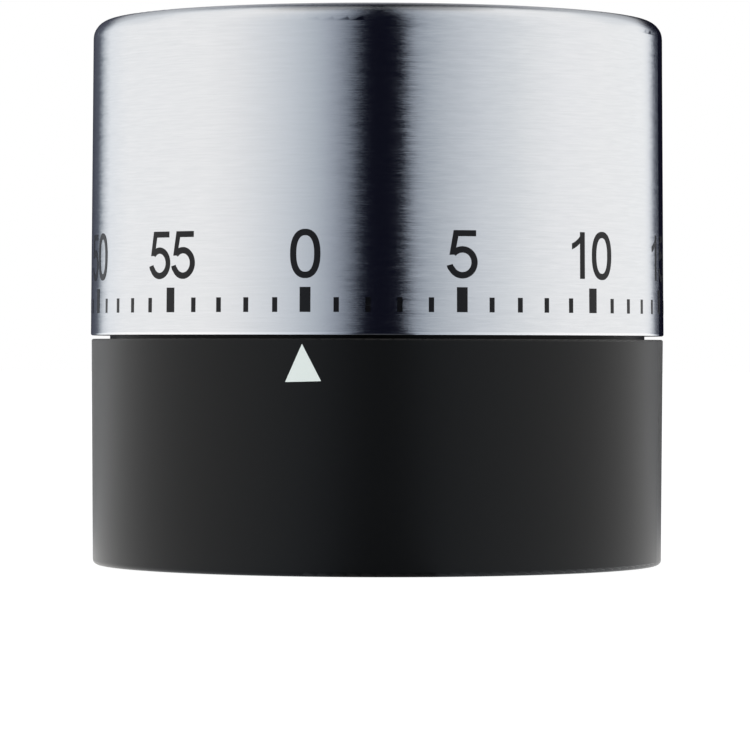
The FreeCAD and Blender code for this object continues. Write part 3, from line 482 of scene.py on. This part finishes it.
def minute_scale(ink):
    """Sixty ticks and a number at every fifth, rising to the right so that the cap is turned back to set it."""
    ticks, numbers = [], []
    for minute in range(minutes):
        turn = minute * 360 / minutes
        five = minute % 5 == 0
        ticks.append((block(*(five_tick if five else minute_tick)), turn, cap_edge + tick_bottom * MM, 0.0))
        if five:
            numbers.append((minute_number(minute), turn, cap_edge + number_base * MM, 0.0))
    wrapped("minute_ticks", ticks, "steel_cap", "dial", ink)
    wrapped("minute_numbers", numbers, "steel_cap", "dial", ink)


def pointer(ink):
    width, height = pointer_size
    triangle = [[(-width / 2, -height), (width / 2, -height), (0.0, 0.0)]]
    wrapped("pointer_mark", [(triangle, pointer_turn, base_edge - pointer_below_edge * MM, pointer_lean)], "base_shell", "base", ink)


# ================================================================ every CAD piece gets its finish
brass = (0.80, 0.60, 0.28)
steel = (0.62, 0.63, 0.65)
arbor_places = {j["child"]: j["pos_m"][:2] for j in frame["joints"]}


def finish_pieces():
    base_black = moulded(
        "soft-touch black", (0.0034, 0.0038, 0.0042), 0.33, 0.21, 0.10, 0.0025, 0.10, 0.25, (1.0, 0.98, 0.93)
    )
    plate = sheet_metal("plate brass", brass, 0.30, (9.0, 0.12, 1.0))
    pillar = turned_metal("turned brass", brass, 0.26, 0.12)
    spring = blued_steel("blued spring steel")
    polished = turned_metal("polished pinion steel", steel, 0.20, 0.08)
    zinc = sheet_metal("zinc-plated steel", (0.66, 0.67, 0.66), 0.34, (0.5, 0.5, 0.5), 0.002, 0.06)
    acetal = moulded("white acetal", (0.80, 0.80, 0.77), 0.42, 0.45, 0.25, 0.003, 0.04)
    finishes = {
        "steel_cap": drawn_steel(),
        "base_shell": base_black,
        "bottom_cover": moulded("fine-textured black", (0.014, 0.014, 0.0145), 0.58, 0.45, 0.22, 0.012),
        "foot_ring": moulded("black rubber", (0.020, 0.020, 0.021), 0.78, 0.3, 0.30, 0.010, 0.18),
        "dial_carrier": moulded("natural nylon", (0.68, 0.66, 0.60), 0.48, 0.45, 0.30, 0.005, 0.05),
        "bell": turned_metal("nickel-plated bell", (0.76, 0.75, 0.72), 0.14, 0.30, 0.002, 0.03),
        "lower_plate": plate,
        "upper_plate": plate,
        "barrel_cover": turned_metal("lapped barrel brass", brass, 0.24, 0.10),
        "alarm_cam": acetal,
        "escape_wheel": acetal,
    }
    groups = {
        spring: (
            "mainspring release_spring click_springs click_pawls hairspring pallet_anchor hammer_lever arbor_clip"
        ),
        zinc: "cover_screws movement_screws bell_screw hub_screw hammer_arm stop_post",
        pillar: (
            "plate_pillars pillar_nuts release_post hairspring_stud hairspring_collet pawl_rivets hammer_head"
        ),
        polished: "main_arbor spring_core ratchet_wheel",
    }
    for material, names in groups.items():
        finishes.update({name: material for name in names.split()})
    for body, members in frame["record"]["behaviour"]["bodies"].items():
        for name in members:
            if name in finishes:
                continue
            centre = tuple(arbor_places[body])
            metal = steel if "pinion" in name or "staff" in name or "arbor" in name else brass
            label = name.replace("_", " ") + (" steel" if metal == steel else " brass")
            finishes[name] = turned_metal(label, metal, 0.22 if metal == steel else 0.27, 0.10, round_axis=centre)
    for name, node in frame["nodes"].items():
        node.data.materials.clear()
        node.data.materials.append(finishes[name])


# ================================================================ studio
turn = math.radians(camera_turn)
towards_camera = (math.sin(turn), -math.cos(turn), 0.0)
camera_right = (math.cos(turn), math.sin(turn), 0.0)

# brightness of the softboxes round the timer, by degrees from the front: dark gap at the front, open sides, dark back
softboxes = [
    (-180, 0.02, 0.02, 0.035),
    (-152, 0.10, 0.11, 0.14),
    (-148, 0.30, 0.33, 0.37),
    (-143, 0.62, 0.65, 0.69),
    (-137, 0.88, 0.90, 0.93),
    (-118, 0.995, 0.99, 0.99),
    (-72, 0.995, 0.985, 0.98),
    (-58, 0.925, 0.92, 0.925),
    (-46, 0.805, 0.82, 0.845),
    (-34, 0.66, 0.69, 0.735),
    (-23, 0.49, 0.53, 0.585),
    (-17, 0.35, 0.38, 0.44),
    (-12, 0.205, 0.23, 0.275),
    (-9.3, 0.125, 0.14, 0.175),
    (-7.6, 0.018, 0.023, 0.038),
    (-5.5, 0.004, 0.0045, 0.010),
    (9.6, 0.004, 0.0045, 0.010),
    (11.2, 0.012, 0.015, 0.028),
    (11.8, 0.225, 0.245, 0.295),
    (14, 0.285, 0.315, 0.365),
    (19, 0.42, 0.455, 0.505),
    (28, 0.55, 0.58, 0.625),
    (39, 0.675, 0.70, 0.74),
    (52, 0.775, 0.795, 0.82),
    (64, 0.89, 0.895, 0.905),
    (78, 0.97, 0.965, 0.97),
    (101, 1.01, 1.0, 0.995),
    (136, 1.0, 1.0, 1.0),
    (142, 0.80, 0.82, 0.86),
    (147, 0.27, 0.29, 0.34),
    (150, 0.035, 0.04, 0.06),
    (157, 0.005, 0.005, 0.012),
]


def round_the_timer(tree, vector):
    """The softboxes' colour in the direction of a vector from the timer's axis."""
    side = tree.node("ShaderNodeVectorMath", {"operation": "DOT_PRODUCT"}, {0: vector, 1: camera_right}, 1)
    front = tree.node("ShaderNodeVectorMath", {"operation": "DOT_PRODUCT"}, {0: vector, 1: towards_camera}, 1)
    angle = side.math("ARCTAN2", side, front)
    place = angle / (2 * math.pi) + 0.5
    stops = [((degrees + 180) / 360, colour) for degrees, *colour in softboxes]
    return tree.node("ShaderNodeValToRGB", {"stops": stops}, {0: place})


def seen_rays(tree):
    """1 for a camera ray, and 1 for a ray that metal or glass sends on."""
    camera = tree.node("ShaderNodeLightPath", None, None, "Is Camera Ray")
    glossy = tree.node("ShaderNodeLightPath", None, None, "Is Glossy Ray")
    clear = tree.node("ShaderNodeLightPath", None, None, "Is Transmission Ray")
    return camera, glossy.math("MAXIMUM", glossy, clear)


def studio_world():
    """Plain white to the camera. Every other ray, a glossy one included, sees the softboxes."""
    world = bpy.data.worlds.new("studio")
    bpy.context.scene.world = world
    world.use_nodes = True
    tree = Tree(world.node_tree)
    direction = tree.node("ShaderNodeTexCoord", None, None, "Generated")
    up = tree.part(direction, 2)
    around = round_the_timer(tree, direction)
    front = tree.node("ShaderNodeVectorMath", {"operation": "DOT_PRODUCT"}, {0: direction, 1: towards_camera}, 1)
    ceiling = tree.between(up, 0.88, 0.97)
    squared = tree.node("ShaderNodeVectorMath", {"operation": "MULTIPLY"}, {0: around, 1: around})
    overhead = tree.node("ShaderNodeVectorMath", {"operation": "SCALE"}, {0: squared, "Scale": 0.42})
    behind = 1.0 - tree.between(front, -0.5, -0.2)
    screen = behind * tree.between(up, 0.28, 0.42) * (1.0 - tree.between(up, 0.66, 0.76))
    lit = tree.mix(screen * 0.6, around, (0.75, 0.77, 0.80, 1.0))
    boxes = tree.mix(ceiling, lit, overhead)
    camera, _ = seen_rays(tree)
    colour = tree.mix(camera, boxes, (1.0, 1.0, 1.0, 1.0))
    background = tree.node("ShaderNodeBackground", None, {"Color": colour, "Strength": 1.0})
    tree.node("ShaderNodeOutputWorld", None, {"Surface": background})


def studio_floor():
    """A pale table with a faint shadow. Glossy rays see the softboxes' brightness on it, not its white, with a painted
    glow near the timer.
    """
    mesh = bmesh.new()
    bmesh.ops.create_circle(mesh, cap_ends=True, radius=floor_radius, segments=96)
    data = bpy.data.meshes.new("table")
    mesh.to_mesh(data)
    mesh.free()
    table = bpy.data.objects.new("table", data)
    table.location.z = -0.00002
    bpy.context.scene.collection.objects.link(table)
    material = bpy.data.materials.new("pale table")
    material.use_nodes = True
    tree = Tree(material.node_tree)
    place = tree.node("ShaderNodeNewGeometry", None, None, "Position")
    lit = tree.node("ShaderNodeBsdfDiffuse", None, {"Color": (0.9, 0.9, 0.9, 1.0)})
    white = tree.node("ShaderNodeEmission", None, {"Color": (1.0, 1.0, 1.0, 1.0), "Strength": 1.16})
    distance = tree.node("ShaderNodeVectorMath", {"operation": "LENGTH"}, {0: place}, 1)
    # painted glow: near the timer the floor is brighter to glossy rays, so the cap's lower lip shows a painted
    # highlight
    near = 1.0 - tree.between(distance, 0.036, 0.064)
    around = round_the_timer(tree, place)
    glow = (0.055, 0.06, 0.065)
    gain = (1.2, 1.2, 1.2)
    painted_glow = tree.node("ShaderNodeVectorMath", {"operation": "MULTIPLY_ADD"}, {0: around, 1: gain, 2: glow})
    under = tree.mix(near, around, painted_glow)
    boxes = tree.node("ShaderNodeEmission", None, {"Color": under, "Strength": 1.0})
    camera, glossy = seen_rays(tree)
    seen = tree.node("ShaderNodeMixShader", None, {0: camera * 0.85, 1: lit, 2: white})
    reflected = tree.node("ShaderNodeMixShader", None, {0: glossy, 1: seen, 2: boxes})
    tree.node("ShaderNodeOutputMaterial", None, {"Surface": reflected})
    data.materials.append(material)


def soft_lamp(name, degrees, elevation, distance, size, power):
    """A large soft lamp that fills the painted surfaces and isn't mirrored in the steel."""
    lamp = bpy.data.lights.new(name, "AREA")
    lamp.shape = "DISK"
    lamp.size = size
    lamp.energy = power
    holder = bpy.data.objects.new(name, lamp)
    a, e = math.radians(degrees), math.radians(elevation)
    place = Vector((math.sin(a) * math.cos(e), -math.cos(a) * math.cos(e), math.sin(e))) * distance
    holder.location = place + Vector((0, 0, 0.03))
    holder.rotation_euler = (-place).to_track_quat("-Z", "Y").to_euler()
    holder.visible_glossy = False
    holder.visible_camera = False
    bpy.context.scene.collection.objects.link(holder)


def timer_camera():
    lens = bpy.data.cameras.new("camera")
    lens.lens = camera_lens
    lens.sensor_width = 36.0
    lens.clip_start = 0.01
    camera = bpy.data.objects.new("camera", lens)
    out, right = Vector(towards_camera), Vector(camera_right)
    camera.location = out * camera_distance + Vector((0, 0, camera_height))
    aim = right * camera_aim[0] + Vector((0, 0, camera_aim[1]))
    camera.rotation_euler = (aim - camera.location).to_track_quat("-Z", "Y").to_euler()
    camera.rotation_euler.rotate_axis("Z", camera_roll)
    bpy.context.scene.collection.objects.link(camera)
    bpy.context.scene.camera = camera


finish_pieces()
minute_scale(printed_ink())
pointer(printed_white())
studio_world()
studio_floor()
soft_lamp("front_fill", camera_turn - 25, 30, 1.2, 1.0, 5.0)
soft_lamp("back_fill", camera_turn - 125, 30, 1.3, 1.2, 7.0)
timer_camera()
bpy.context.scene.view_settings.view_transform = "Standard"
